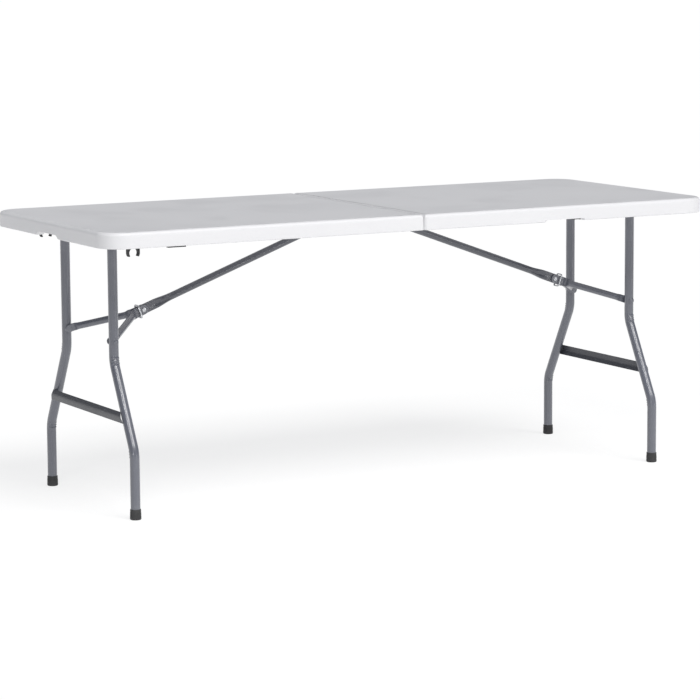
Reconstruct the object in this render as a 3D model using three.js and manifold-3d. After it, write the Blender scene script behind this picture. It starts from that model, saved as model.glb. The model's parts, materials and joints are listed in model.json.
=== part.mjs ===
// Folding table with a white moulded top in two halves that close like a case,
// and two steel leg frames held open by braces with a sliding lock ring.
//
// Units are millimetres. X runs along the table, Y across it (near side at -Y) and Z up.
// The origin is on the floor under the middle of the top. The table is drawn open.
//
// Each end is drawn once, at +X. The -X end is the same end turned half a turn about Z.
import * as THREE from 'three';
import { mergeVertices } from 'three/addons/utils/BufferGeometryUtils.js';
import Module from 'manifold-3d';

const wasm = await Module();
wasm.setup();

// ---- driving dimensions ----
const LENGTH = 1800;
const WIDTH = 740;
const HEIGHT = 740;
const GAP = 0.3; // kept between pieces that touch

// top
const RIM_DEPTH = 41; // height of the rim all round each half
const RIM_WIDTH = 20;
const RIM_DRAFT = 4; // the rim is this much wider at its root
const PANEL = 9; // thickness of the table board
const CORNER_RADIUS = 66;
const SEAM_RADIUS = 8;
const EDGE_RADIUS = 10;
const SEAM_GAP = 0.8;
const SEAM_WALL = 18;
const SEAM_RELIEF = { width: 3.2, height: 5 }; // chamfer that lets one half turn down past the other
const FOOT_CHAMFER = 1.5; // all round the lower edge of the rim
const RECESS_RADIUS = { seam: 12, end: 46 };
const END_NOTCH = { width: 140, top: 112, depth: 10 };
const SIDE_NOTCH = { centre: 432, width: 124, depth: 5.6 };
const RING_POCKET = { depth: 5, length: 24, width: 44 }; // room for the lock ring when stowed
const PAD = { x0: 682, x1: 732, half: 7, depth: 3 }; // under the rim of the left half

// leg frames
const TUBE = 25; // outer diameter of legs and pivot bar
const TUBE_WALL = 1.5;
const PIVOT = { x: 787, z: 716 }; // axis of each leg frame
const LEG_TOP_Y = 150;
const LEG_FOOT_Y = 266;
const LEG_BEND_Z = [387.5, 170];
const BEND_TANGENT = 17; // straight length that each bend takes up on either side
const BAR_HALF = 318;
const BEARING = { inner: 300, outer: 316, half: 18, below: 16 };
const CLIP = { inner: 270, outer: 284, wall: 3.2, bore: 12.8, mouth: 54 }; // jaws open 2 x 54 degrees
const CROSSBAR = { z: 255, height: 28, half: 221, depth: 4.7, sheet: 1.4 }; // half is at mid-height
const FOOT = { radius: 14.5, height: 27, base: 3.3 };
const RIVET = { radius: 4, hole: 4.4, head: 7, headThick: 1.6 };

// braces
const BRACE_TOP = { x: 36, z: 713 };
const BRACE_ON_LEG_Z = 440;
const BRACE_TUBE = 19;
const ARM_TUBE = 18;
const BRACE_EYE = { half: 4.5, radius: 11, length: 40, tubeFrom: 22 }; // pressed flat at the top
const BRACE_PLATE = { half: 4.2, height: 26, from: 56, tubeTo: 46, beyond: 17 }; // and at the knee
const ARM_PLATE = { inner: 4.8, outer: 8.3, height: 25, length: 36 };
const ARM_END = { inner: 130.5, outer: 134.8, height: 20, length: 11 };
const ARM_TUBE_Y = [10, 127]; // where the slanting tube of each arm starts and ends
const KNEE_HEAD = { radius: 6, thick: 1.1 };
const RING = { at: 14, thick: 4, innerY: 10.1, outerY: 12.6, innerZ: 15.6, outerZ: 18.5 };
const RING_CORNER = { outer: 6, inner: 3.5 };
const RING_TRAVEL = 100; // up the brace, clear of the knee
const BRACKET = { from: -12, to: 34, half: 16, sheet: 1.6, earInner: 5.2, earOuter: 7.4, earRadius: 10 };
const BRACKET_EAR_TO = 16;
const BRACE_PIN_HEAD = { radius: 6.5, to: 9.6 };

// hinges of the seam: two pins in each, joined by a link
const SEAM_PIN = { x: 9, z: 706.3, radius: 2.5, hole: 2.9 };
const SEAM_HINGE_Y = [-230, 230];
const SEAM_EYE = 6;
const SEAM_LINK_HALF = 22;
const SEAM_EAR = 2.5;
const SEAM_SLOT_HALF = 28;
const SEAM_PIN_HEAD = { radius: 4, thick: 1.2 };
const LEAF = { from: 24, to: 66, earTo: 44, sheet: 2 };

// carrying handle
const HANDLE = { y: -343, below: 2.6, half: 57, arm: 13, grip: 18, reach: 84, thick: 4.4 };
const TRUNNION = { radius: 2, hole: 2.35, length: 9 };
const LUG = { gap: 1.5, thick: 9.5, outerY: -348.3, innerY: -338, below: 2.5, above: 7 };

// ---- sizes that follow ----
const RIM_Z = HEIGHT - RIM_DEPTH;
const UNDER_Z = HEIGHT - PANEL;
const CLOSE_Z = SEAM_PIN.z - SEAM_PIN.x; // plane in which the two halves meet when shut
const TUBE_R = TUBE / 2;
const BORE_R = TUBE_R + 0.4;
const legToBrace = PIVOT.z - BRACE_ON_LEG_Z;
const braceOpen = Math.hypot(PIVOT.x - BRACE_TOP.x, BRACE_TOP.z - BRACE_ON_LEG_Z);
const braceShut = Math.hypot(PIVOT.x - legToBrace - BRACE_TOP.x, PIVOT.z - BRACE_TOP.z);
const ARM_LENGTH = (braceOpen - braceShut) / 2; // the brace is straight open and flat shut
const UPPER_LENGTH = (braceOpen + braceShut) / 2;
const braceAngle = Math.atan2(BRACE_TOP.z - BRACE_ON_LEG_Z, PIVOT.x - BRACE_TOP.x);
const EAR_INNER = SEAM_LINK_HALF + 0.4;
const EAR_OUTER = EAR_INNER + SEAM_EAR;
const handleX = SIDE_NOTCH.centre;
const handleZ = RIM_Z + HANDLE.below;

// ---- materials ----
function finish(color, roughness, metalness) {
  return new THREE.MeshStandardMaterial({ color, roughness, metalness });
}
const whitePlastic = finish(0xe9eae8, 0.55, 0);
const blackPlastic = finish(0x1b1b1d, 0.6, 0);
const greyCoat = finish(0x6f7178, 0.4, 0.3);
const zinc = finish(0xb9bcc0, 0.35, 0.9);

// ---- making solids ----
function toSolid(geometry) {
  const bare = geometry.index ? geometry.toNonIndexed() : geometry.clone();
  bare.deleteAttribute('normal');
  bare.deleteAttribute('uv');
  const merged = mergeVertices(bare, 1e-4);
  return new wasm.Manifold(new wasm.Mesh({
    numProp: 3,
    vertProperties: Float32Array.from(merged.attributes.position.array),
    triVerts: Uint32Array.from(merged.index.array),
  }));
}

function toGeometry(solid) {
  const made = solid.getMesh();
  const geometry = new THREE.BufferGeometry();
  geometry.setAttribute('position', new THREE.BufferAttribute(made.vertProperties, 3));
  geometry.setIndex(new THREE.BufferAttribute(made.triVerts, 1));
  geometry.computeVertexNormals();
  return geometry;
}

function join(...solids) {
  return solids.reduce((a, b) => a.add(b));
}

function cut(solid, ...tools) {
  return tools.reduce((a, b) => a.subtract(b), solid);
}

function box(x0, x1, y0, y1, z0, z1) {
  const geometry = new THREE.BoxGeometry(x1 - x0, y1 - y0, z1 - z0);
  return toSolid(geometry.translate((x0 + x1) / 2, (y0 + y1) / 2, (z0 + z1) / 2));
}

// a round bar along Y
function barY(x, z, radius, y0, y1, sides = 16) {
  const geometry = new THREE.CylinderGeometry(radius, radius, y1 - y0, sides);
  return toSolid(geometry.translate(x, (y0 + y1) / 2, z));
}

// a plate drawn in the XZ plane (shape x, y become X, Z) and given its thickness along Y
function plateY(shape, y0, y1, curveSegments = 8) {
  const geometry = new THREE.ExtrudeGeometry(shape, {
    depth: y1 - y0,
    bevelEnabled: false,
    curveSegments,
  });
  return toSolid(geometry.rotateX(Math.PI / 2).translate(0, y1, 0));
}

// a strip with one or two round ends, drawn from x0 to x1 about z
function strip(x0, x1, z, half, roundStart, roundEnd) {
  const shape = new THREE.Shape();
  shape.moveTo(x0, z - half);
  shape.lineTo(x1, z - half);
  if (roundEnd) shape.absarc(x1, z, half, -Math.PI / 2, Math.PI / 2);
  else shape.lineTo(x1, z + half);
  shape.lineTo(x0, z + half);
  if (roundStart) shape.absarc(x0, z, half, Math.PI / 2, 1.5 * Math.PI);
  else shape.lineTo(x0, z - half);
  return shape;
}

// a closed skin over rings of equal point counts, each ring convex and level
function loft(rings) {
  const count = rings[0].points.length;
  const positions = rings.flatMap(({ z, points }) => points.flatMap(([x, y]) => [x, y, z]));
  const index = [];
  for (let r = 0; r + 1 < rings.length; r++) {
    for (let i = 0; i < count; i++) {
      const a = r * count + i;
      const b = r * count + ((i + 1) % count);
      index.push(a, b, b + count, a, b + count, a + count);
    }
  }
  const last = (rings.length - 1) * count;
  for (let i = 1; i + 1 < count; i++) {
    index.push(0, i + 1, i);
    index.push(last, last + i, last + i + 1);
  }
  const geometry = new THREE.BufferGeometry();
  geometry.setAttribute('position', new THREE.Float32BufferAttribute(positions, 3));
  geometry.setIndex(index);
  return toSolid(geometry);
}

// outline of a half: small corners at the seam, large ones at the end
function halfOutline(x0, x1, halfY, seamRadius, endRadius, inset) {
  const corners = [
    [x1 - endRadius, -halfY + endRadius, endRadius, -90],
    [x1 - endRadius, halfY - endRadius, endRadius, 0],
    [x0 + seamRadius, halfY - seamRadius, seamRadius, 90],
    [x0 + seamRadius, -halfY + seamRadius, seamRadius, 180],
  ];
  const steps = 8;
  return corners.flatMap(([cx, cy, radius, from]) => Array.from({ length: steps + 1 }, (_, i) => {
    const angle = THREE.MathUtils.degToRad(from + (90 * i) / steps);
    return [cx + (radius - inset) * Math.cos(angle), cy + (radius - inset) * Math.sin(angle)];
  }));
}

// a bent pipe: one ring of the section at each point, so straight runs stay one step long
class BentPath extends THREE.Curve {
  constructor(points) {
    super();
    this.points = points;
  }

  getPoint(t) {
    const place = t * (this.points.length - 1);
    const i = Math.min(Math.floor(place), this.points.length - 2);
    return this.points[i].clone().lerp(this.points[i + 1], place - i);
  }

  getPointAt(u) {
    return this.getPoint(u);
  }

  getTangentAt(u) {
    const i = Math.round(u * (this.points.length - 1));
    const before = this.points[Math.max(i - 1, 0)];
    const here = this.points[i];
    const after = this.points[Math.min(i + 1, this.points.length - 1)];
    const into = here.clone().sub(before).normalize();
    const out = after.clone().sub(here).normalize();
    return into.add(out).normalize();
  }
}

function pipe(points, outer, inner, sides) {
  const section = new THREE.Shape();
  section.absarc(0, 0, outer, 0, 2 * Math.PI);
  if (inner) {
    const hole = new THREE.Path();
    hole.absarc(0, 0, inner, 0, 2 * Math.PI, true);
    section.holes.push(hole);
  }
  return toSolid(new THREE.ExtrudeGeometry(section, {
    steps: points.length - 1,
    curveSegments: sides,
    extrudePath: new BentPath(points),
  }));
}

// ---- top ----
function topHalf() {
  const x0 = SEAM_GAP / 2;
  const x1 = LENGTH / 2;
  const layers = [[RIM_Z, FOOT_CHAMFER], [RIM_Z + FOOT_CHAMFER, 0], [HEIGHT - EDGE_RADIUS, 0]];
  for (const degrees of [30, 60, 90]) {
    const angle = THREE.MathUtils.degToRad(degrees);
    layers.push([
      HEIGHT - EDGE_RADIUS * (1 - Math.sin(angle)),
      EDGE_RADIUS * (1 - Math.cos(angle)),
    ]);
  }
  const body = loft(layers.map(([z, inset]) => ({
    z,
    points: halfOutline(x0, x1, WIDTH / 2, SEAM_RADIUS, CORNER_RADIUS, inset),
  })));
  const recess = loft([[RIM_Z - 5, 0], [RIM_Z, 0], [UNDER_Z, RIM_DRAFT]].map(([z, inset]) => ({
    z,
    points: halfOutline(
      x0 + SEAM_WALL, x1 - RIM_WIDTH, WIDTH / 2 - RIM_WIDTH,
      RECESS_RADIUS.seam, RECESS_RADIUS.end, inset,
    ),
  })));
  const lean = new THREE.Shape();
  lean.moveTo(x0 - SEAM_RELIEF.width, RIM_Z - SEAM_RELIEF.height);
  lean.lineTo(x0 + 2 * SEAM_RELIEF.width, RIM_Z - SEAM_RELIEF.height);
  lean.lineTo(x0, RIM_Z + SEAM_RELIEF.height);
  lean.lineTo(x0 - SEAM_RELIEF.width, RIM_Z + SEAM_RELIEF.height);
  const seamRelief = plateY(lean, -WIDTH / 2 - 1, WIDTH / 2 + 1);
  // finger notch in the end rim, with sloping sides
  const slot = new THREE.Shape();
  slot.moveTo(-END_NOTCH.width / 2 - 3, RIM_Z - 1.7);
  slot.lineTo(END_NOTCH.width / 2 + 3, RIM_Z - 1.7);
  slot.lineTo(END_NOTCH.top / 2, RIM_Z + END_NOTCH.depth);
  slot.lineTo(-END_NOTCH.top / 2, RIM_Z + END_NOTCH.depth);
  const endNotch = plateY(slot, -60, 0).rotate([0, 0, 90]).translate([x1 - RIM_WIDTH - 10, 0, 0]);
  const sideNotch = box(
    SIDE_NOTCH.centre - SIDE_NOTCH.width / 2, SIDE_NOTCH.centre + SIDE_NOTCH.width / 2,
    -WIDTH / 2 - 1, -WIDTH / 2 + RIM_WIDTH + 5, RIM_Z - 1, RIM_Z + SIDE_NOTCH.depth,
  );
  const hingeSlots = SEAM_HINGE_Y.map((y) => box(
    -1, SEAM_WALL + RIM_DRAFT + 1, y - SEAM_SLOT_HALF, y + SEAM_SLOT_HALF, RIM_Z - 1, UNDER_Z,
  ));
  const ringX = BRACE_TOP.x + UPPER_LENGTH - (RING_TRAVEL - RING.at);
  const ringPocket = box(
    ringX - RING_POCKET.length / 2, ringX + RING_POCKET.length / 2,
    -RING_POCKET.width / 2, RING_POCKET.width / 2, UNDER_Z - 1, UNDER_Z + RING_POCKET.depth,
  );
  return cut(body, recess, seamRelief, endNotch, sideNotch, ...hingeSlots, ringPocket);
}

// block that holds the pivot bar up under the board
function bearing(y0, y1) {
  const { half, below } = BEARING;
  const block = box(PIVOT.x - half, PIVOT.x + half, y0, y1, PIVOT.z - below, UNDER_Z - GAP);
  return cut(block, barY(PIVOT.x, PIVOT.z, BORE_R, y0 - 1, y1 + 1, 24));
}

// clip on the left half: held by the bar above, its jaws grip the other half's bar when shut
function closingClip(y0, y1) {
  const grip = 2 * CLOSE_Z - PIVOT.z;
  const outer = CLIP.bore + CLIP.wall;
  const mouth = THREE.MathUtils.degToRad(CLIP.mouth);
  const shape = new THREE.Shape();
  shape.moveTo(outer, UNDER_Z - GAP);
  shape.lineTo(-outer, UNDER_Z - GAP);
  shape.lineTo(-outer, grip);
  shape.absarc(0, grip, outer, Math.PI, 1.5 * Math.PI - mouth);
  shape.absarc(0, grip, CLIP.bore, 1.5 * Math.PI - mouth, -0.5 * Math.PI + mouth, true);
  shape.absarc(0, grip, outer, -0.5 * Math.PI + mouth, 0);
  return cut(
    plateY(shape, y0, y1, 16).translate([PIVOT.x, 0, 0]),
    barY(PIVOT.x, PIVOT.z, BORE_R, y0 - 1, y1 + 1, 24),
  );
}

function bumperPad(s) {
  const rim = s * (WIDTH - RIM_WIDTH) / 2;
  return box(PAD.x0, PAD.x1, rim - PAD.half, rim + PAD.half, RIM_Z - PAD.depth, RIM_Z - GAP);
}

// ---- leg frame ----
function pivotBar() {
  const inner = TUBE_R - TUBE_WALL;
  const wall = [
    [inner, -BAR_HALF], [TUBE_R, -BAR_HALF], [TUBE_R, BAR_HALF], [inner, BAR_HALF],
    [inner, -BAR_HALF],
  ].map(([r, y]) => new THREE.Vector2(r, y));
  return toSolid(new THREE.LatheGeometry(wall, 24)).translate([PIVOT.x, 0, PIVOT.z]);
}

function legTube(s) {
  const at = (y, z) => new THREE.Vector3(PIVOT.x, s * y, z);
  const ends = [
    at(LEG_TOP_Y, PIVOT.z),
    at(LEG_TOP_Y, LEG_BEND_Z[0]),
    at(LEG_FOOT_Y, LEG_BEND_Z[1]),
    at(LEG_FOOT_Y, FOOT.base + GAP),
  ];
  const points = [ends[0]];
  for (const i of [1, 2]) {
    const corner = ends[i];
    const along = (other) => corner.clone().lerp(other, BEND_TANGENT / corner.distanceTo(other));
    const bend = new THREE.QuadraticBezierCurve3(along(ends[i - 1]), corner, along(ends[i + 1]));
    points.push(...bend.getPoints(4));
  }
  points.push(ends[3]);
  const tube = pipe(points, TUBE_R, TUBE_R - TUBE_WALL, 8);
  const y0 = s * LEG_TOP_Y - TUBE;
  const y1 = s * LEG_TOP_Y + TUBE;
  return cut(
    tube,
    barY(PIVOT.x, PIVOT.z, TUBE_R + GAP, y0, y1, 24),
    barY(PIVOT.x, BRACE_ON_LEG_Z, RIVET.radius + GAP, y0, y1, 12),
  );
}

// V-folded strip welded across the outer faces of the legs, its ends cut along their slope
function crossbar() {
  const { height, half, depth, sheet } = CROSSBAR;
  const slope = (LEG_FOOT_Y - LEG_TOP_Y) / (LEG_BEND_Z[0] - LEG_BEND_Z[1]);
  const between = loft([-height, height].map((z) => {
    const y = half - slope * z;
    return { z, points: [[0, -y], [TUBE, -y], [TUBE, y], [0, y]] };
  }));
  const shape = new THREE.Shape();
  const start = TUBE_R + GAP;
  shape.moveTo(start, height / 2);
  shape.lineTo(start + depth - sheet, 0);
  shape.lineTo(start, -height / 2);
  shape.lineTo(start + sheet, -height / 2);
  shape.lineTo(start + depth, 0);
  shape.lineTo(start + sheet, height / 2);
  const strap = plateY(shape, -half - height, half + height).intersect(between);
  return strap.translate([PIVOT.x, 0, CROSSBAR.z]);
}

function footCap(s) {
  const { radius, height, base } = FOOT;
  const bore = TUBE_R + GAP;
  const wall = [
    [0, 0], [radius - 1.5, 0], [radius, 2], [radius, 8], [radius - 0.8, height],
    [bore, height], [bore, base], [0, base],
  ].map(([r, z]) => new THREE.Vector2(r, z));
  const cap = new THREE.LatheGeometry(wall, 20).rotateX(Math.PI / 2);
  return toSolid(cap).translate([PIVOT.x, s * LEG_FOOT_Y, 0]);
}

function legRivet(s) {
  const face = LEG_TOP_Y + TUBE_R;
  const shank = [LEG_TOP_Y - TUBE_R + GAP, face + GAP + 1];
  const head = [face + GAP, face + GAP + RIVET.headThick];
  const bar = (radius, [a, b]) => barY(
    PIVOT.x, BRACE_ON_LEG_Z, radius, Math.min(s * a, s * b), Math.max(s * a, s * b), 12,
  );
  return join(bar(RIVET.radius, shank), bar(RIVET.head, head));
}

// ---- brace, drawn along +X from its own pivot and then laid at its slope ----
function rivetHole(x) {
  return barY(x, 0, RIVET.hole, -BRACE_TUBE, BRACE_TUBE, 12);
}

function upperBrace() {
  const knee = UPPER_LENGTH;
  const { half, height, from, tubeTo, beyond } = BRACE_PLATE;
  const tubeEnd = knee - tubeTo;
  const radius = BRACE_TUBE / 2;
  const tube = toSolid(new THREE.CylinderGeometry(
    radius, radius, tubeEnd - BRACE_EYE.tubeFrom, 16,
  ).rotateZ(Math.PI / 2).translate((tubeEnd + BRACE_EYE.tubeFrom) / 2, 0, 0));
  const topEye = plateY(
    strip(0, BRACE_EYE.length, 0, BRACE_EYE.radius, true, false), -BRACE_EYE.half, BRACE_EYE.half,
  );
  const kneePlate = plateY(
    strip(knee - from, knee + beyond, 0, height / 2, false, true), -half, half,
  );
  return cut(join(tube, topEye, kneePlate), rivetHole(0), rivetHole(knee));
}

function lowerArm(s) {
  const end = ARM_LENGTH;
  const { inner, outer, height, length } = ARM_PLATE;
  const span = (a, b) => [Math.min(s * a, s * b), Math.max(s * a, s * b)];
  const overlap = 4; // the tube runs this far into each flat
  const kneePlate = plateY(strip(0, length, 0, height / 2, true, false), ...span(inner, outer));
  const endPlate = plateY(
    strip(end - ARM_END.length, end, 0, ARM_END.height / 2, false, true),
    ...span(ARM_END.inner, ARM_END.outer),
  );
  const from = new THREE.Vector3(length - overlap, s * ARM_TUBE_Y[0], 0);
  const to = new THREE.Vector3(end - ARM_END.length + overlap, s * ARM_TUBE_Y[1], 0);
  const tube = pipe([from, to], ARM_TUBE / 2, 0, 7);
  const past = 3 * ARM_TUBE;
  const trimmed = cut(
    tube,
    box(-past, end + past, ...span(inner, inner - past), -past, past),
    box(-past, end + past, ...span(ARM_END.outer, ARM_END.outer + past), -past, past),
  );
  return cut(join(kneePlate, endPlate, trimmed), rivetHole(0));
}

function kneeRivet() {
  const face = ARM_PLATE.outer + GAP;
  const { radius, thick } = KNEE_HEAD;
  return join(
    barY(0, 0, RIVET.radius, -face - thick / 2, face + thick / 2, 12),
    barY(0, 0, radius, face, face + thick, 12),
    barY(0, 0, radius, -face - thick, -face, 12),
  );
}

function lockRing() {
  const loop = (halfY, halfZ, corner) => {
    const shape = new THREE.Shape();
    const [cy, cz] = [halfY - corner, halfZ - corner];
    shape.absarc(cy, -cz, corner, -Math.PI / 2, 0);
    shape.absarc(cy, cz, corner, 0, Math.PI / 2);
    shape.absarc(-cy, cz, corner, Math.PI / 2, Math.PI);
    shape.absarc(-cy, -cz, corner, Math.PI, 1.5 * Math.PI);
    return shape;
  };
  const outer = plateY(
    loop(RING.outerY, RING.outerZ, RING_CORNER.outer), -RING.thick / 2, RING.thick / 2,
  );
  const inner = plateY(loop(RING.innerY, RING.innerZ, RING_CORNER.inner), -RING.thick, RING.thick);
  return cut(outer, inner).rotate([0, 0, 90]).translate([RING.at, 0, 0]);
}

function braceBracket() {
  const { from, to, half, sheet, earInner, earOuter, earRadius } = BRACKET;
  const top = UNDER_Z - GAP - BRACE_TOP.z;
  const ear = new THREE.Shape();
  ear.absarc(0, 0, earRadius, Math.PI, 2 * Math.PI);
  ear.lineTo(BRACKET_EAR_TO, top);
  ear.lineTo(from, top);
  return cut(
    join(
      box(from, to, -half, half, top - sheet, top),
      plateY(ear, earInner, earOuter),
      plateY(ear, -earOuter, -earInner),
    ),
    rivetHole(0),
  );
}

function bracePin() {
  const face = BRACKET.earOuter + GAP;
  const { radius, to } = BRACE_PIN_HEAD;
  return join(
    barY(0, 0, RIVET.radius, -face - 1, face + 1, 12),
    barY(0, 0, radius, face, to, 12),
    barY(0, 0, radius, -to, -face, 12),
  );
}

// ---- seam hinge, drawn about y = 0 ----
function seamBore(x) {
  return barY(x, SEAM_PIN.z, SEAM_PIN.hole, -2 * EAR_OUTER, 2 * EAR_OUTER, 12);
}

function seamLeaf() {
  const top = UNDER_Z - GAP;
  const ear = new THREE.Shape();
  ear.absarc(SEAM_PIN.x, SEAM_PIN.z, SEAM_EYE, 0.8 * Math.PI, 1.9 * Math.PI);
  ear.lineTo(LEAF.earTo, top - LEAF.sheet / 2);
  ear.lineTo(LEAF.from, top - LEAF.sheet / 2);
  return cut(
    join(
      box(LEAF.from, LEAF.to, -EAR_OUTER, EAR_OUTER, top - LEAF.sheet, top),
      plateY(ear, EAR_INNER, EAR_OUTER),
      plateY(ear, -EAR_OUTER, -EAR_INNER),
    ),
    seamBore(SEAM_PIN.x),
  );
}

function seamLink() {
  return cut(
    plateY(
      strip(-SEAM_PIN.x, SEAM_PIN.x, SEAM_PIN.z, SEAM_EYE, true, true),
      -SEAM_LINK_HALF, SEAM_LINK_HALF,
    ),
    seamBore(SEAM_PIN.x),
    seamBore(-SEAM_PIN.x),
  );
}

function seamPin() {
  const face = EAR_OUTER + GAP;
  const { radius, thick } = SEAM_PIN_HEAD;
  const bar = (r, y0, y1) => barY(SEAM_PIN.x, SEAM_PIN.z, r, y0, y1, 12);
  return join(
    bar(SEAM_PIN.radius, -face - thick / 2, face + thick / 2),
    bar(radius, face, face + thick),
    bar(radius, -face - thick, -face),
  );
}

// ---- carrying handle: lies flat in the recess and swings out under the notch in the rim ----
function trunnionBar(radius, x0, x1) {
  const geometry = new THREE.CylinderGeometry(radius, radius, x1 - x0, 12).rotateZ(Math.PI / 2);
  return toSolid(geometry.translate((x0 + x1) / 2, HANDLE.y, handleZ));
}

function carryHandle() {
  const { y, half, arm, grip, reach, thick } = HANDLE;
  const bar = (x0, x1, y0, y1) => box(
    handleX + x0, handleX + x1, y0, y1, handleZ - thick / 2, handleZ + thick / 2,
  );
  const out = half + TRUNNION.length;
  return join(
    bar(-half, arm - half, y - TRUNNION.radius, y + reach),
    bar(half - arm, half, y - TRUNNION.radius, y + reach),
    bar(-half, half, y + reach - grip, y + reach),
    trunnionBar(TRUNNION.radius, handleX - out, handleX - half + 1),
    trunnionBar(TRUNNION.radius, handleX + half - 1, handleX + out),
  );
}

function handleLug(s) {
  const near = handleX + s * (HANDLE.half + LUG.gap);
  const far = near + s * LUG.thick;
  const [x0, x1] = [Math.min(near, far), Math.max(near, far)];
  const lug = box(x0, x1, LUG.outerY, LUG.innerY, handleZ - LUG.below, handleZ + LUG.above);
  return cut(lug, trunnionBar(TRUNNION.hole, x0 - 1, x1 + 1));
}

// ---- assembly ----
const table = new THREE.Group();

function place(parent, name, solid, material) {
  const mesh = new THREE.Mesh(toGeometry(solid), material);
  mesh.name = name;
  parent.add(mesh);
  return mesh;
}

// where a piece that lies from inner to outer starts and ends along Y, on side s
function across(s, { inner, outer }) {
  return s < 0 ? [-outer, -inner] : [inner, outer];
}

for (const [side, turn] of [['left', Math.PI], ['right', 0]]) {
  const end = new THREE.Group();
  end.rotation.z = turn;
  table.add(end);

  // a piece drawn at y = s * value lies on the near side when s points to -Y after the turn
  const depth = (s) => ((s < 0) === (turn === 0) ? 'near' : 'far');

  place(end, `top_${side}`, topHalf(), whitePlastic);
  place(end, `${side}_pivot_bar`, pivotBar(), greyCoat);
  place(end, `${side}_crossbar`, crossbar(), greyCoat);
  for (const s of [-1, 1]) {
    place(end, `${side}_${depth(s)}_bearing`, bearing(...across(s, BEARING)), blackPlastic);
    place(end, `${side}_${depth(s)}_leg`, legTube(s), greyCoat);
    place(end, `${side}_${depth(s)}_foot_cap`, footCap(s), blackPlastic);
    place(end, `${side}_${depth(s)}_leg_rivet`, legRivet(s), zinc);
  }

  const bracket = new THREE.Group();
  bracket.position.set(BRACE_TOP.x, 0, BRACE_TOP.z);
  end.add(bracket);
  place(bracket, `${side}_brace_bracket`, braceBracket(), greyCoat);
  place(bracket, `${side}_brace_pin`, bracePin(), zinc);

  const brace = new THREE.Group();
  brace.position.copy(bracket.position);
  brace.rotation.y = braceAngle;
  end.add(brace);
  place(brace, `${side}_upper_brace`, upperBrace(), greyCoat);

  const knee = new THREE.Group();
  knee.position.x = UPPER_LENGTH;
  brace.add(knee);
  for (const s of [-1, 1]) place(knee, `${side}_${depth(s)}_brace_arm`, lowerArm(s), greyCoat);
  place(knee, `${side}_knee_rivet`, kneeRivet(), zinc);
  place(knee, `${side}_lock_ring`, lockRing(), zinc);

  for (const y of SEAM_HINGE_Y) {
    const hinge = new THREE.Group();
    hinge.position.y = y;
    end.add(hinge);
    place(hinge, `${side}_${depth(y)}_hinge_leaf`, seamLeaf(), zinc);
    place(hinge, `${side}_${depth(y)}_hinge_pin`, seamPin(), zinc);
  }

  if (side === 'left') {
    for (const s of [-1, 1]) {
      place(end, `${depth(s)}_closing_clip`, closingClip(...across(s, CLIP)), blackPlastic);
      place(end, `${depth(s)}_bumper_pad`, bumperPad(s), blackPlastic);
    }
  } else {
    place(end, 'carry_handle', carryHandle(), blackPlastic);
    place(end, 'handle_lug_inner', handleLug(-1), blackPlastic);
    place(end, 'handle_lug_outer', handleLug(1), blackPlastic);
  }
}

for (const y of SEAM_HINGE_Y) {
  const link = place(table, `${y < 0 ? 'near' : 'far'}_hinge_link`, seamLink(), zinc);
  link.position.y = y;
}

export default table;
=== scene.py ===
import json
import math

import bmesh
import bpy
from mathutils import Matrix, Vector


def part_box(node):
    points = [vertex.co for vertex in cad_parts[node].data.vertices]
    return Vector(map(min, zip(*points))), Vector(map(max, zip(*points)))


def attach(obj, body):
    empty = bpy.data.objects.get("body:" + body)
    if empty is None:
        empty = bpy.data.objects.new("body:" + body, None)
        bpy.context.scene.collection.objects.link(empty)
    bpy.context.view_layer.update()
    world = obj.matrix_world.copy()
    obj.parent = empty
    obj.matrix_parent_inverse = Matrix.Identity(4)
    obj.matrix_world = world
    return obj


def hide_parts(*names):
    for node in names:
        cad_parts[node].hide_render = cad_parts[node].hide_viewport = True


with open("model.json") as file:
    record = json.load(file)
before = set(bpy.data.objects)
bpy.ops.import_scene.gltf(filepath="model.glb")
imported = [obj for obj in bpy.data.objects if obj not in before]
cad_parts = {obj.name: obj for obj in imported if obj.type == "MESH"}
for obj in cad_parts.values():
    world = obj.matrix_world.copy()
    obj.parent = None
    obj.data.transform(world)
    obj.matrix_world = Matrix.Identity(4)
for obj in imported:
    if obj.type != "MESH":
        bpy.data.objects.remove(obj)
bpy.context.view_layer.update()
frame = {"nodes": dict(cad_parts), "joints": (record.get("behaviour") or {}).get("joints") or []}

# A folding table whose white moulded top closes like a case over two steel leg frames.
# Everything is drawn in the frame's own place, in millimetres, at the right-hand end (+X).
# The left-hand end is the same end turned half a turn about Z.

mm = 0.001
joints = {joint["name"]: joint for joint in frame["joints"]}


def jointPlace(name):
    return Vector(joints[name]["pos_m"]) / mm


def nodeBox(node):
    low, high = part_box(node)
    return low / mm, high / mm


legPivot = jointPlace("right_leg_fold")
braceTop = jointPlace("right_brace_swing")
knee = jointPlace("right_knee_fold")
braceSlope = math.atan2(braceTop.z - knee.z, knee.x - braceTop.x)
braceLength = (knee - braceTop).length


def use(piece):
    if bpy.context.object and bpy.context.object.mode != "OBJECT":
        bpy.ops.object.mode_set(mode="OBJECT")
    bpy.ops.object.select_all(action="DESELECT")
    piece.select_set(True)
    bpy.context.view_layer.objects.active = piece


def edit(piece):
    use(piece)
    bpy.ops.object.mode_set(mode="EDIT")
    bpy.ops.mesh.select_all(action="DESELECT")


def closeEdit():
    bpy.ops.object.mode_set(mode="OBJECT")
    return bpy.context.object


def settle(piece):
    # puts the piece's place, turn and scale into its mesh
    use(piece)
    bpy.ops.object.transform_apply(location=True, rotation=True, scale=True)
    return piece


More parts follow.
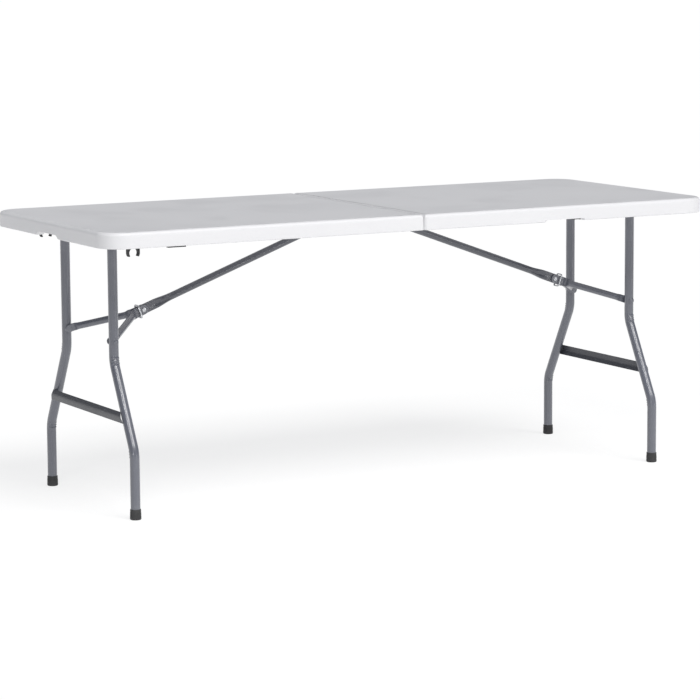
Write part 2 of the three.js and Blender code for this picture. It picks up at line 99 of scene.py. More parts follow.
def pick(kind, test):
    # selects the vertices, edges or faces for which test is true; they are passed in metres
    bpy.ops.mesh.select_mode(type=kind)
    bpy.ops.mesh.select_all(action="DESELECT")
    mesh = bmesh.from_edit_mesh(bpy.context.object.data)
    mesh.normal_update()
    parts = {"VERT": mesh.verts, "EDGE": mesh.edges, "FACE": mesh.faces}[kind]
    for part in parts:
        if test(part):
            part.select_set(True)
    mesh.select_flush_mode()
    bmesh.update_edit_mesh(bpy.context.object.data)


def near(value, target, slack=0.05):
    return abs(value / mm - target) < slack


def edgeRuns(edge, axis):
    # the edge is parallel to that axis
    step = edge.verts[0].co - edge.verts[1].co
    return abs(step[axis]) > 0.999 * step.length


def edgeAt(edge, axis, target, slack=0.05):
    return all(near(v.co[axis], target, slack) for v in edge.verts)


def bevelPicked(width, segments, profile=0.5):
    bpy.ops.mesh.bevel(offset=width * mm, segments=segments, profile=profile, affect="EDGES")


def moveBy(x, y, z):
    bpy.ops.transform.translate(value=(x * mm, y * mm, z * mm))


def resizeBy(x, y, z, centre):
    bpy.ops.transform.resize(value=(x, y, z), center_override=Vector(centre) * mm)


def turnBy(angle, axis, centre):
    # with no window the rotate operator turns the other way
    bpy.ops.transform.rotate(value=-angle, orient_axis=axis, center_override=Vector(centre) * mm)


def drawOut(x, y, z):
    bpy.ops.mesh.extrude_region_move(TRANSFORM_OT_translate={"value": (x * mm, y * mm, z * mm)})


def faceOutwards(piece):
    edit(piece)
    bpy.ops.mesh.select_all(action="SELECT")
    bpy.ops.mesh.remove_doubles(threshold=0.01 * mm)
    bpy.ops.mesh.normals_make_consistent(inside=False)
    closeEdit()


def modify(piece, kind, **settings):
    use(piece)
    modifier = piece.modifiers.new(kind.lower(), kind)
    for name, value in settings.items():
        setattr(modifier, name, value)
    bpy.ops.object.modifier_apply(modifier=modifier.name)


def repeat(piece, count, step):
    modify(piece, "ARRAY", count=count, use_relative_offset=False, use_constant_offset=True,
           constant_offset_displace=[c * mm for c in step])


def softEdges(piece, width, segments, sharper):
    # bevels the edges that turn by more than so many degrees
    modify(piece, "BEVEL", width=width * mm, segments=segments, limit_method="ANGLE",
           angle_limit=math.radians(sharper))


def cutAway(piece, *cutters):
    for cutter in cutters:
        modify(piece, "BOOLEAN", object=cutter, operation="DIFFERENCE", solver="MANIFOLD")
        bpy.data.objects.remove(cutter)


def joinUp(name, pieces):
    use(pieces[0])
    for piece in pieces:
        piece.select_set(True)
    if len(pieces) > 1:
        bpy.ops.object.join()
    return rename(bpy.context.object, name)


def rename(piece, name):
    piece.name = name
    piece.data.name = name
    return piece


def copyOf(piece, name):
    use(piece)
    bpy.ops.object.duplicate()
    return rename(bpy.context.object, name)


def block(name, low, high):
    low, high = Vector(low) * mm, Vector(high) * mm
    bpy.ops.object.select_all(action="DESELECT")
    bpy.ops.mesh.primitive_cube_add(size=1, location=(low + high) / 2, scale=high - low)
    return settle(rename(bpy.context.object, name))


def startTube(name, radius, sides, place, turn=(0, 0, 0)):
    # a closed end disc whose rim is selected, ready to be drawn out
    bpy.ops.object.select_all(action="DESELECT")
    bpy.ops.mesh.primitive_circle_add(vertices=sides, radius=radius * mm, fill_type="NOTHING",
                                      location=[c * mm for c in place], rotation=turn)
    piece = settle(rename(bpy.context.object, name))
    edit(piece)
    bpy.ops.mesh.select_all(action="SELECT")
    bpy.ops.mesh.edge_face_add()
    bpy.ops.mesh.select_mode(type="EDGE")
    return piece


def growTube(x, y, z):
    bpy.ops.mesh.extrude_edges_move(TRANSFORM_OT_translate={"value": (x * mm, y * mm, z * mm)})


def turned(name, rings, place, axis="Z", sides=32):
    # a turned shape: rings are (height, radius) from one end to the other, laid along an axis
    piece = startTube(name, rings[0][1], sides, (0, 0, rings[0][0]))
    for (height, radius), (nextHeight, nextRadius) in zip(rings, rings[1:]):
        growTube(0, 0, nextHeight - height)
        resizeBy(nextRadius / radius, nextRadius / radius, 1, (0, 0, nextHeight))
    bpy.ops.mesh.edge_face_add()
    closeEdit()
    faceOutwards(piece)
    piece.rotation_euler.x = {"Z": 0, "-Z": math.pi, "Y": -math.pi / 2, "-Y": math.pi / 2}[axis]
    piece.location = Vector(place) * mm
    return settle(piece)


def fromNode(name, node, edge, segments=2):
    # a machined or moulded part that keeps its drawn shape and gets softened edges
    use(frame["nodes"][node])
    bpy.ops.object.duplicate()
    piece = rename(bpy.context.object, name)
    for label in [key for key in piece.keys() if key.startswith("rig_")]:
        del piece[label]
    piece.parent = None
    settle(piece)
    piece.rotation_mode = "XYZ"
    edit(piece)
    bpy.ops.mesh.select_all(action="SELECT")
    bpy.ops.mesh.remove_doubles(threshold=0.01 * mm)
    bpy.ops.mesh.dissolve_limited(angle_limit=math.radians(1))
    closeEdit()
    softEdges(piece, edge, segments, 40)
    return piece


endTurn = {"left": math.pi, "right": 0.0}


def finishPiece(piece, body, finish, nodes=(), smooth=35):
    use(piece)
    bpy.ops.object.shade_smooth_by_angle(angle=math.radians(smooth))
    modify(piece, "WEIGHTED_NORMAL", keep_sharp=True)
    piece.data.materials.clear()
    piece.data.materials.append(finish)
    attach(piece, body)
    if nodes:
        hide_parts(*nodes)


def atEnd(piece, side, name):
    # a copy of a piece drawn at the right-hand end, put at either end
    copy = copyOf(piece, name)
    copy.rotation_euler.z = endTurn[side]
    return settle(copy)


def mirrored(piece, name):
    # the same piece on the other side of the table's long middle line
    copy = copyOf(piece, name)
    copy.scale.y = -1
    settle(copy)
    faceOutwards(copy)
    return copy


def depthName(side, drawnNear):
    # a piece drawn near lands far at the left-hand end
    return "near" if drawnNear == (side == "right") else "far"


def bothEnds(piece, label, nodeLabel, bodyLabel, finish, smooth=35):
    # a piece that each end has once
    for side in endTurn:
        copy = atEnd(piece, side, f"{side}{label}")
        finishPiece(copy, f"{side}_{bodyLabel}", finish, [f"{side}_{nodeLabel}"], smooth)
    bpy.data.objects.remove(piece)


def allCorners(piece, label, nodeLabel, bodyLabel, finish, smooth=35):
    # a piece drawn on the near side that each end has near and far
    other = mirrored(piece, f"{label}Other")
    for side in endTurn:
        for drawn, drawnNear in ((piece, True), (other, False)):
            depth = depthName(side, drawnNear)
            copy = atEnd(drawn, side, f"{side}{depth.title()}{label}")
            finishPiece(copy, f"{side}_{bodyLabel}", finish,
                        [f"{side}_{depth}_{nodeLabel}"], smooth)
    bpy.data.objects.remove(piece)
    bpy.data.objects.remove(other)


def addNode(tree, kind, inputs=None, **settings):
    node = tree.nodes.new(kind)
    for name, value in settings.items():
        setattr(node, name, value)
    for name, value in (inputs or {}).items():
        node.inputs[name].default_value = value
    return node


def link(tree, source, target):
    tree.links.new(source, target)


def newGroup(name, inputs, outputs):
    group = bpy.data.node_groups.new(name, "ShaderNodeTree")
    for label, kind, value in inputs:
        socket = group.interface.new_socket(label, in_out="INPUT", socket_type=kind)
        if value is not None:
            socket.default_value = value
    for label, kind in outputs:
        group.interface.new_socket(label, in_out="OUTPUT", socket_type=kind)
    return group, group.nodes.new("NodeGroupInput"), group.nodes.new("NodeGroupOutput")


def ramp(tree, source, low, high):
    # a smooth step of a value between low and high
    node = addNode(tree, "ShaderNodeMapRange", {"From Min": low, "From Max": high},
                   interpolation_type="SMOOTHSTEP")
    link(tree, source, node.inputs["Value"])
    return node.outputs["Result"]


def math2(tree, operation, first, second):
    node = addNode(tree, "ShaderNodeMath", operation=operation)
    for socket, value in zip(node.inputs, (first, second)):
        if isinstance(value, (int, float)):
            socket.default_value = value
        else:
            link(tree, value, socket)
    return node.outputs[0]


def mixColour(tree, factor, first, second):
    node = addNode(tree, "ShaderNodeMix", data_type="RGBA")
    if isinstance(factor, (int, float)):
        node.inputs[0].default_value = factor
    else:
        link(tree, factor, node.inputs[0])
    for socket, value in ((node.inputs[6], first), (node.inputs[7], second)):
        if isinstance(value, tuple):
            socket.default_value = value
        else:
            link(tree, value, socket)
    return node.outputs[2]


def makeFineGrain():
    # small pebbles and finer speckle, as a height, and a slow drift of tone
    group, entry, leave = newGroup(
        "fineGrain",
        [("Vector", "NodeSocketVector", None), ("Grain Size", "NodeSocketFloat", 400.0),
         ("Pebble", "NodeSocketFloat", 0.6)],
        [("Height", "NodeSocketFloat"), ("Drift", "NodeSocketFloat")])
    pebbles = addNode(group, "ShaderNodeTexVoronoi", feature="SMOOTH_F1", inputs={"Smoothness": 0.6})
    speckle = addNode(group, "ShaderNodeTexNoise", {"Detail": 3.0, "Roughness": 0.55})
    drift = addNode(group, "ShaderNodeTexNoise", {"Scale": 3.0, "Detail": 2.0})
    for node in (pebbles, speckle, drift):
        link(group, entry.outputs["Vector"], node.inputs["Vector"])
    link(group, entry.outputs["Grain Size"], pebbles.inputs["Scale"])
    link(group, math2(group, "MULTIPLY", entry.outputs["Grain Size"], 2.3), speckle.inputs["Scale"])
    pebbled = math2(group, "MULTIPLY", pebbles.outputs["Distance"], entry.outputs["Pebble"])
    height = math2(group, "ADD", pebbled, speckle.outputs[0])
    link(group, height, leave.inputs["Height"])
    link(group, drift.outputs[0], leave.inputs["Drift"])
    return group


def makeWornEdges():
    # a mask of the rubbed outer edges
    group, entry, leave = newGroup(
        "wornEdges",
        [("Vector", "NodeSocketVector", None), ("Amount", "NodeSocketFloat", 0.5)],
        [("Mask", "NodeSocketFloat")])
    geometry = addNode(group, "ShaderNodeNewGeometry")
    patches = addNode(group, "ShaderNodeTexNoise", {"Scale": 45.0, "Detail": 4.0, "Roughness": 0.65})
    link(group, entry.outputs["Vector"], patches.inputs["Vector"])
    edges = ramp(group, geometry.outputs["Pointiness"], 0.54, 0.64)
    rubbed = ramp(group, patches.outputs[0], 0.5, 0.66)
    both = math2(group, "MULTIPLY", edges, rubbed)
    link(group, math2(group, "MULTIPLY", both, entry.outputs["Amount"]), leave.inputs["Mask"])
    return group


def makeHandlingMarks():
    # fine long scratches and soft smudges
    group, entry, leave = newGroup(
        "handlingMarks",
        [("Vector", "NodeSocketVector", None), ("Scratch Size", "NodeSocketFloat", 14.0)],
        [("Scratches", "NodeSocketFloat"), ("Smudges", "NodeSocketFloat")])
    lanes = []
    for turn, stretch in ((0.35, (1.0, 26.0, 26.0)), (-0.9, (22.0, 1.0, 22.0))):
        mapping = addNode(group, "ShaderNodeMapping")
        mapping.inputs["Rotation"].default_value = (0, 0, turn)
        mapping.inputs["Scale"].default_value = stretch
        streaks = addNode(group, "ShaderNodeTexNoise", {"Detail": 2.0, "Roughness": 0.6})
        link(group, entry.outputs["Vector"], mapping.inputs["Vector"])
        link(group, mapping.outputs[0], streaks.inputs["Vector"])
        link(group, entry.outputs["Scratch Size"], streaks.inputs["Scale"])
        lanes.append(ramp(group, streaks.outputs[0], 0.66, 0.7))
    smudges = addNode(group, "ShaderNodeTexNoise", {"Scale": 6.0, "Detail": 3.0, "Distortion": 0.6})
    link(group, entry.outputs["Vector"], smudges.inputs["Vector"])
    link(group, math2(group, "MAXIMUM", *lanes), leave.inputs["Scratches"])
    link(group, ramp(group, smudges.outputs[0], 0.4, 0.7), leave.inputs["Smudges"])
    return group


fineGrain = makeFineGrain()
wornEdges = makeWornEdges()
handlingMarks = makeHandlingMarks()


def newFinish(name):
    finish = bpy.data.materials.new(name)
    finish.use_nodes = True
    tree = finish.node_tree
    place = addNode(tree, "ShaderNodeTexCoord").outputs["Object"]
    return finish, tree, tree.nodes["Principled BSDF"], place


def useGroup(tree, group, place, **values):
    node = addNode(tree, "ShaderNodeGroup", node_tree=group)
    link(tree, place, node.inputs["Vector"])
    for label, value in values.items():
        node.inputs[label.replace("_", " ")].default_value = value
    return node


def addBump(tree, shader, height, strength, distance):
    bump = addNode(tree, "ShaderNodeBump", {"Strength": strength, "Distance": distance * mm})
    link(tree, height, bump.inputs["Height"])
    link(tree, bump.outputs[0], shader.inputs["Normal"])


whiteMoulding = {
    "tone": (0.735, 0.734, 0.745, 1), "shade": (0.712, 0.711, 0.726, 1),
    "scratch": (0.66, 0.67, 0.68, 1), "scratchSize": 9.0, "scratched": 0.25, "smudged": -0.08,
    "rough": 0.42, "specular": 0.45, "grain": 420.0, "pebble": 0.7, "bump": 0.35, "bumpHeight": 0.35,
}


def makeWhitePlastic():
    # blow-moulded polyethylene with a fine pebbled skin
    finish, tree, shader, place = newFinish("whiteMouldedPlastic")
    grain = useGroup(tree, fineGrain, place, Grain_Size=whiteMoulding["grain"],
                     Pebble=whiteMoulding["pebble"])
    marks = useGroup(tree, handlingMarks, place, Scratch_Size=whiteMoulding["scratchSize"])
    tone = mixColour(tree, grain.outputs["Drift"], whiteMoulding["shade"], whiteMoulding["tone"])
    faint = math2(tree, "MULTIPLY", marks.outputs["Scratches"], whiteMoulding["scratched"])
    link(tree, mixColour(tree, faint, tone, whiteMoulding["scratch"]), shader.inputs["Base Color"])
    gloss = math2(tree, "MULTIPLY", marks.outputs["Smudges"], whiteMoulding["smudged"])
    link(tree, math2(tree, "ADD", gloss, whiteMoulding["rough"]), shader.inputs["Roughness"])
    addBump(tree, shader, grain.outputs["Height"], whiteMoulding["bump"], whiteMoulding["bumpHeight"])
    shader.inputs["Specular IOR Level"].default_value = whiteMoulding["specular"]
    return finish


greyCoating = {
    "tone": (0.120, 0.127, 0.157), "shade": (0.096, 0.101, 0.124), "bare": (0.36, 0.37, 0.38, 1),
    "rough": 0.31, "peel": 900.0, "pebble": 0.9, "bump": 0.12, "bumpHeight": 0.12,
    "scratchSize": 22.0, "scratched": 0.22, "smudged": 0.12, "worn": 0.7, "wornMetal": 0.8,
    "specular": 0.75, "clearCoat": 0.7, "clearRough": 0.14,
}


def makeGreyCoat(name, depth, shine):
    # powder coat with a slight orange peel, rubbed through on a few edges
    # a lower depth is darker, and a lower shine is less glossy
    finish, tree, shader, place = newFinish(name)
    grain = useGroup(tree, fineGrain, place, Grain_Size=greyCoating["peel"],
                     Pebble=greyCoating["pebble"])
    marks = useGroup(tree, handlingMarks, place, Scratch_Size=greyCoating["scratchSize"])
    worn = useGroup(tree, wornEdges, place, Amount=greyCoating["worn"])
    tone, shade = [tuple(depth * c for c in greyCoating[key]) + (1,) for key in ("tone", "shade")]
    tone = mixColour(tree, grain.outputs["Drift"], shade, tone)
    rubbed = math2(tree, "MAXIMUM", worn.outputs["Mask"],
                   math2(tree, "MULTIPLY", marks.outputs["Scratches"], greyCoating["scratched"]))
    link(tree, mixColour(tree, rubbed, tone, greyCoating["bare"]), shader.inputs["Base Color"])
    gloss = math2(tree, "MULTIPLY", marks.outputs["Smudges"], greyCoating["smudged"])
    link(tree, math2(tree, "ADD", gloss, greyCoating["rough"]), shader.inputs["Roughness"])
    metal = math2(tree, "MULTIPLY", worn.outputs["Mask"], greyCoating["wornMetal"])
    link(tree, metal, shader.inputs["Metallic"])
    addBump(tree, shader, grain.outputs["Height"], greyCoating["bump"], greyCoating["bumpHeight"])
    shader.inputs["Specular IOR Level"].default_value = greyCoating["specular"] * shine
    shader.inputs["Coat Weight"].default_value = greyCoating["clearCoat"] * shine
    shader.inputs["Coat Roughness"].default_value = greyCoating["clearRough"]
    return finish


zincPlate = {
    "tone": (0.60, 0.61, 0.63, 1), "shade": (0.42, 0.43, 0.45, 1), "rough": 0.27, "spangle": 160.0,
    "grain": 1200.0, "pebble": 0.2, "scratchSize": 60.0, "scratched": 0.4, "flakeRough": 0.12,
    "bump": 0.08, "bumpHeight": 0.05,
}


def makeZinc():
    # bright zinc plate with a faint spangle and drawing lines
    finish, tree, shader, place = newFinish("zincPlatedSteel")
    grain = useGroup(tree, fineGrain, place, Grain_Size=zincPlate["grain"], Pebble=zincPlate["pebble"])
    marks = useGroup(tree, handlingMarks, place, Scratch_Size=zincPlate["scratchSize"])
    spangle = addNode(tree, "ShaderNodeTexVoronoi", {"Scale": zincPlate["spangle"]})
    link(tree, place, spangle.inputs["Vector"])
    flakes = addNode(tree, "ShaderNodeSeparateColor")
    link(tree, spangle.outputs["Color"], flakes.inputs[0])
    tone = mixColour(tree, flakes.outputs[0], zincPlate["shade"], zincPlate["tone"])
    dull = math2(tree, "MULTIPLY", marks.outputs["Scratches"], zincPlate["scratched"])
    link(tree, mixColour(tree, dull, tone, zincPlate["shade"]), shader.inputs["Base Color"])
    spread = math2(tree, "MULTIPLY", flakes.outputs[1], zincPlate["flakeRough"])
    link(tree, math2(tree, "ADD", spread, zincPlate["rough"]), shader.inputs["Roughness"])
    shader.inputs["Metallic"].default_value = 1.0
    addBump(tree, shader, grain.outputs["Height"], zincPlate["bump"], zincPlate["bumpHeight"])
    return finish


blackMoulding = {
    "tone": (0.018, 0.018, 0.020, 1), "shade": (0.011, 0.011, 0.012, 1), "dust": (0.10, 0.10, 0.10, 1),
    "rough": 0.5, "pebble": 0.6, "scratchSize": 40.0, "worn": 0.6, "wornPale": 0.35, "smudged": 0.18,
    "bump": 0.25, "bumpHeight": 0.2,
}


def makeBlackPlastic(name, grainSize, dusty):
    # satin black polypropylene, or softer dusty rubbery plastic for what is trodden and gripped
    finish, tree, shader, place = newFinish(name)
    grain = useGroup(tree, fineGrain, place, Grain_Size=grainSize, Pebble=blackMoulding["pebble"])
    marks = useGroup(tree, handlingMarks, place, Scratch_Size=blackMoulding["scratchSize"])
    worn = useGroup(tree, wornEdges, place, Amount=blackMoulding["worn"])
    tone = mixColour(tree, grain.outputs["Drift"], blackMoulding["shade"], blackMoulding["tone"])
    dusted = math2(tree, "MULTIPLY", marks.outputs["Smudges"], dusty)
    rubbed = math2(tree, "MULTIPLY", worn.outputs["Mask"], blackMoulding["wornPale"])
    pale = math2(tree, "MAXIMUM", dusted, rubbed)
    link(tree, mixColour(tree, pale, tone, blackMoulding["dust"]), shader.inputs["Base Color"])
    matt = math2(tree, "MULTIPLY", marks.outputs["Smudges"], blackMoulding["smudged"])
    link(tree, math2(tree, "ADD", matt, blackMoulding["rough"]), shader.inputs["Roughness"])
    addBump(tree, shader, grain.outputs["Height"], blackMoulding["bump"], blackMoulding["bumpHeight"])
    return finish


whitePlastic = makeWhitePlastic()
greyCoat = makeGreyCoat("greyPowderCoat", 1.0, 1.0)
darkCoat = makeGreyCoat("darkPowderCoat", 0.4, 0.35)
# a darker copy of the grey coat paints the shade that the long braces hang in under the top
braceShadeCoat = makeGreyCoat("bracePaintedShadeCoat", 0.64, 0.8)
zincSteel = makeZinc()
blackPlastic = makeBlackPlastic("blackMouldedPlastic", 700.0, 0.12)
footRubber = makeBlackPlastic("blackFootPlastic", 500.0, 0.35)
print("finishes made")


topMoulding = {
    "endCorner": 66, "seamCorner": 8, "topEdge": 10, "lowerEdge": 2,
    "rim": 20, "draft": 4, "seamWall": 18, "recessEnd": 46, "recessSeam": 12, "fillet": 3,
    "board": 9, "seamLean": 3.2, "seamLeanHeight": 5,
}
endNotch = {"below": 1.7, "width": 146, "top": 112, "height": 10, "soft": 4}
sideNotch = {"centre": 432, "width": 124, "height": 5.6, "soft": 2.2}
hingeSlot = {"places": (-230, 230), "half": 28, "reach": 30, "soft": 2}
ringPocket = {"half": (12, 22), "depth": 5, "soft": 3}
stowedRing = {"travel": 100, "fromKnee": 14}
dimples = {"countX": 18, "countY": 15, "pitch": 44, "size": (12, 8, 3.4), "from": (72, -308)}


def shapeBody(low, high):
    body = block("topRight", low, high)
    edit(body)
    pick("EDGE", lambda e: edgeRuns(e, 2) and edgeAt(e, 0, high.x))
    bevelPicked(topMoulding["endCorner"], 14)
    pick("EDGE", lambda e: edgeRuns(e, 2) and edgeAt(e, 0, low.x))
    bevelPicked(topMoulding["seamCorner"], 5)
    pick("EDGE", lambda e: edgeAt(e, 2, high.z))
    bevelPicked(topMoulding["topEdge"], 6)
    pick("EDGE", lambda e: edgeAt(e, 2, low.z))
    bevelPicked(topMoulding["lowerEdge"], 3)
    closeEdit()
    return body


def recessCutter(low, high):
    rim, wall, draft = topMoulding["rim"], topMoulding["seamWall"], topMoulding["draft"]
    start = Vector((low.x + wall, low.y + rim, low.z - 5))
    stop = Vector((high.x - rim, high.y - rim, low.z))
    ceiling = high.z - topMoulding["board"]
    cutter = block("recess", start, stop)
    size = stop - start
    middle = (start + stop) / 2
    edit(cutter)
    pick("EDGE", lambda e: edgeRuns(e, 2) and edgeAt(e, 0, stop.x))
    bevelPicked(topMoulding["recessEnd"], 12)
    pick("EDGE", lambda e: edgeRuns(e, 2) and edgeAt(e, 0, start.x))
    bevelPicked(topMoulding["recessSeam"], 5)
    pick("FACE", lambda f: f.normal.z > 0.9)
    drawOut(0, 0, ceiling - low.z)
    resizeBy(1 - 2 * draft / size.x, 1 - 2 * draft / size.y, 1, (middle.x, middle.y, ceiling))
    pick("EDGE", lambda e: edgeAt(e, 2, ceiling))
    bevelPicked(topMoulding["fillet"], 4)
    closeEdit()
    return cutter


def seamLeanCutter(low):
    # takes the lower edge of the seam back, so that one half can turn down past the other
    lean, height = topMoulding["seamLean"], topMoulding["seamLeanHeight"]
    cutter = block("lean", (low.x - 6, low.y - 5, low.z - 2), (low.x, -low.y + 5, low.z + height))
    edit(cutter)
    pick("VERT", lambda v: near(v.co.x, low.x) and near(v.co.z, low.z - 2))
    moveBy(lean * (height + 2) / height, 0, 0)
    closeEdit()
    return cutter


def notchCutters(low, high):
    half = endNotch["width"] / 2
    reach = topMoulding["rim"] + 8
    end = block("endNotch", (high.x - reach, -half, low.z - endNotch["below"]),
                (high.x + 5, half, low.z + endNotch["height"]))
    edit(end)
    pick("FACE", lambda f: f.normal.z > 0.9)
    resizeBy(1, endNotch["top"] / endNotch["width"], 1, (high.x, 0, high.z))
    pick("EDGE", lambda e: edgeRuns(e, 0) and edgeAt(e, 2, low.z + endNotch["height"]))
    bevelPicked(endNotch["soft"], 4)
    closeEdit()
    half = sideNotch["width"] / 2
    side = block("sideNotch", (sideNotch["centre"] - half, low.y - 1, low.z - 1),
                 (sideNotch["centre"] + half, low.y + reach, low.z + sideNotch["height"]))
    edit(side)
    pick("EDGE", lambda e: edgeRuns(e, 1) and edgeAt(e, 2, low.z + sideNotch["height"]))
    bevelPicked(sideNotch["soft"], 4)
    closeEdit()
    return [end, side]


def slotCutters(low, high):
    ceiling = high.z - topMoulding["board"]
    cutters = []
    for y in hingeSlot["places"]:
        slot = block("hingeSlot", (low.x - 2, y - hingeSlot["half"], low.z - 1),
                     (hingeSlot["reach"], y + hingeSlot["half"], ceiling))
        edit(slot)
        pick("EDGE", lambda e: edgeRuns(e, 0) and edgeAt(e, 2, ceiling))
        bevelPicked(hingeSlot["soft"], 3)
        closeEdit()
        cutters.append(slot)
    return cutters


def pocketCutter(high):
    # room for the lock ring when the brace is folded up against the board
    ceiling = high.z - topMoulding["board"]
    ringX = braceTop.x + braceLength - (stowedRing["travel"] - stowedRing["fromKnee"])
    halfX, halfY = ringPocket["half"]
    pocket = block("pocket", (ringX - halfX, -halfY, ceiling - 1),
                   (ringX + halfX, halfY, ceiling + ringPocket["depth"]))
    edit(pocket)
    pick("EDGE", lambda e: edgeAt(e, 2, ceiling + ringPocket["depth"]) or edgeRuns(e, 2))
    bevelPicked(ringPocket["soft"], 3)
    closeEdit()
    return pocket


def dimpleCutter(high):
    # rows of small dents under the board, where its two skins touch
    bpy.ops.object.select_all(action="DESELECT")
    x, y = dimples["from"]
    bpy.ops.mesh.primitive_uv_sphere_add(
        segments=14, ring_count=8, radius=mm,
        location=(x * mm, y * mm, (high.z - topMoulding["board"]) * mm))
    cutter = rename(bpy.context.object, "dimples")
    cutter.scale = dimples["size"]
    settle(cutter)
    repeat(cutter, dimples["countX"], (dimples["pitch"], 0, 0))
    repeat(cutter, dimples["countY"], (0, dimples["pitch"], 0))
    return cutter


def makeTop():
    low, high = nodeBox("top_right")
    top = shapeBody(low, high)
    cutAway(top, recessCutter(low, high), seamLeanCutter(low), *notchCutters(low, high),
            *slotCutters(low, high), pocketCutter(high), dimpleCutter(high))
    for side in endTurn:
        half = atEnd(top, side, f"{side}TopHalf")
        finishPiece(half, f"{side}_half", whitePlastic, [f"top_{side}"], smooth=32)
    bpy.data.objects.remove(top)
    print("top halves made")


makeTop()


legFrame = {
    "tube": 25, "wall": 1.5, "topY": 150, "footY": 266, "upperBend": 387.5, "lowerBend": 170,
    "tangent": 17, "bottom": 3.6, "barHalf": 318, "barHollow": 16, "barEdge": 0.3, "crease": 1.1,
}
weld = {"thick": 1.7, "stand": 0.3, "ripples": 18, "swell": 0.16, "flatter": 0.96, "least": 2.0}
crossStrip = {"z": 255, "height": 28, "half": 221, "from": 12.9, "ridge": 3.3, "sheet": 1.35}
footCap = {
    "outside": [(0, 12.4), (0.5, 13.5), (2, 14.4), (4, 14.5), (8, 14.5), (9, 14.2), (10.2, 14.2),
                (11.2, 14.4), (19.5, 14.1), (20.4, 13.8), (21.6, 13.8), (22.4, 14.0), (26.2, 13.8),
                (27, 13.3)],
    "inside": [(27, 12.65), (23, 12.6)],
    "flutes": (12, 18), "fluteTurn": 7.5, "fluteDeep": 0.35,
}


def makePivotBar():
    radius, wall, half = legFrame["tube"] / 2, legFrame["wall"], legFrame["barHalf"]
    deep, soft = legFrame["barHollow"], legFrame["barEdge"]
    rings = [(half - soft, radius), (half, radius - soft), (half, radius - wall),
             (half - deep, radius - wall)]
    rings = [(-along, r) for along, r in reversed(rings)] + rings
    bar = turned("pivotBar", rings, legPivot, axis="Y", sides=40)
    bothEnds(bar, "PivotBar", "pivot_bar", "legs", greyCoat)


def makeLeg():
    # drawn from the foot upwards: straight, bend in, slant, bend back, straight into the pivot bar
    rise = legFrame["upperBend"] - legFrame["lowerBend"]
    run = legFrame["footY"] - legFrame["topY"]
    slant = math.atan2(run, rise)
    radius = legFrame["tangent"] / math.tan(slant / 2)
    straight = math.hypot(rise, run) - 2 * legFrame["tangent"]
    foot = (legPivot.x, -legFrame["footY"], legFrame["bottom"])
    leg = startTube("leg", legFrame["tube"] / 2, 36, foot)
    lowerStart = legFrame["lowerBend"] - legFrame["tangent"]
    upperStop = legFrame["upperBend"] + legFrame["tangent"]
    lowerMiddle = Vector((legPivot.x, radius - legFrame["footY"], lowerStart))
    upperMiddle = Vector((legPivot.x, -radius - legFrame["topY"], upperStop))
    bend = {"steps": 9, "axis": (1, 0, 0)}
    growTube(0, 0, lowerStart - legFrame["bottom"])
    bpy.ops.mesh.spin(angle=slant, center=lowerMiddle * mm, **bend)
    growTube(0, math.sin(slant) * straight, math.cos(slant) * straight)
    bpy.ops.mesh.spin(angle=-slant, center=upperMiddle * mm, **bend)
    growTube(0, 0, legPivot.z - upperStop)
    bpy.ops.mesh.edge_face_add()
    wrinkleBend(lowerMiddle, radius, slant / bend["steps"], 1)
    wrinkleBend(upperMiddle, radius, slant / bend["steps"], -1)
    closeEdit()
    faceOutwards(leg)
    seam = weldBead(legFrame["tube"] / 2)
    seam.location = Vector((legPivot.x, -legFrame["topY"], legPivot.z)) * mm
    settle(seam)
    leg = joinUp("leg", [leg, seam])
    allCorners(leg, "Leg", "leg", "legs", greyCoat)


def wrinkleBend(middle, radius, step, way):
    # every other ring of a bend is pushed in a little on the inside, as a bent tube creases
    def inside(v, ring):
        y, z = v.co.y / mm - middle.y, v.co.z / mm - middle.z
        around = math.atan2(way * z, -way * y)
        return abs(around - ring * step) < 0.2 * step and 0 < math.hypot(y, z) < radius - 5
    for ring in (2, 4, 6):
        pick("VERT", lambda v: inside(v, ring))
        if bpy.context.object.data.total_vert_sel:
            bpy.ops.transform.shrink_fatten(value=-legFrame["crease"] * mm)


def weldBead(radius):
    # a rippled bead that follows the saddle where the leg's tube meets the bar above it
    bpy.ops.object.select_all(action="DESELECT")
    bpy.ops.mesh.primitive_torus_add(
        major_segments=72, minor_segments=8, major_radius=(radius + weld["stand"]) * mm,
        minor_radius=weld["thick"] * mm)
    bead = rename(bpy.context.object, "weld")
    edit(bead)
    mesh = bmesh.from_edit_mesh(bead.data)
    for v in mesh.verts:
        around = math.atan2(v.co.y, v.co.x)
        saddle = math.sqrt(max(radius ** 2 - (radius * math.cos(around)) ** 2 * weld["flatter"], 0.0))
        swell = 1 + weld["swell"] * math.sin(weld["ripples"] * around)
        outward = Vector((v.co.x, v.co.y, 0)).normalized() * (radius + weld["stand"]) * mm
        v.co = outward + (v.co - outward) * swell + Vector((0, 0, -max(saddle, weld["least"]) * mm))
    bmesh.update_edit_mesh(bead.data)
    closeEdit()
    return bead


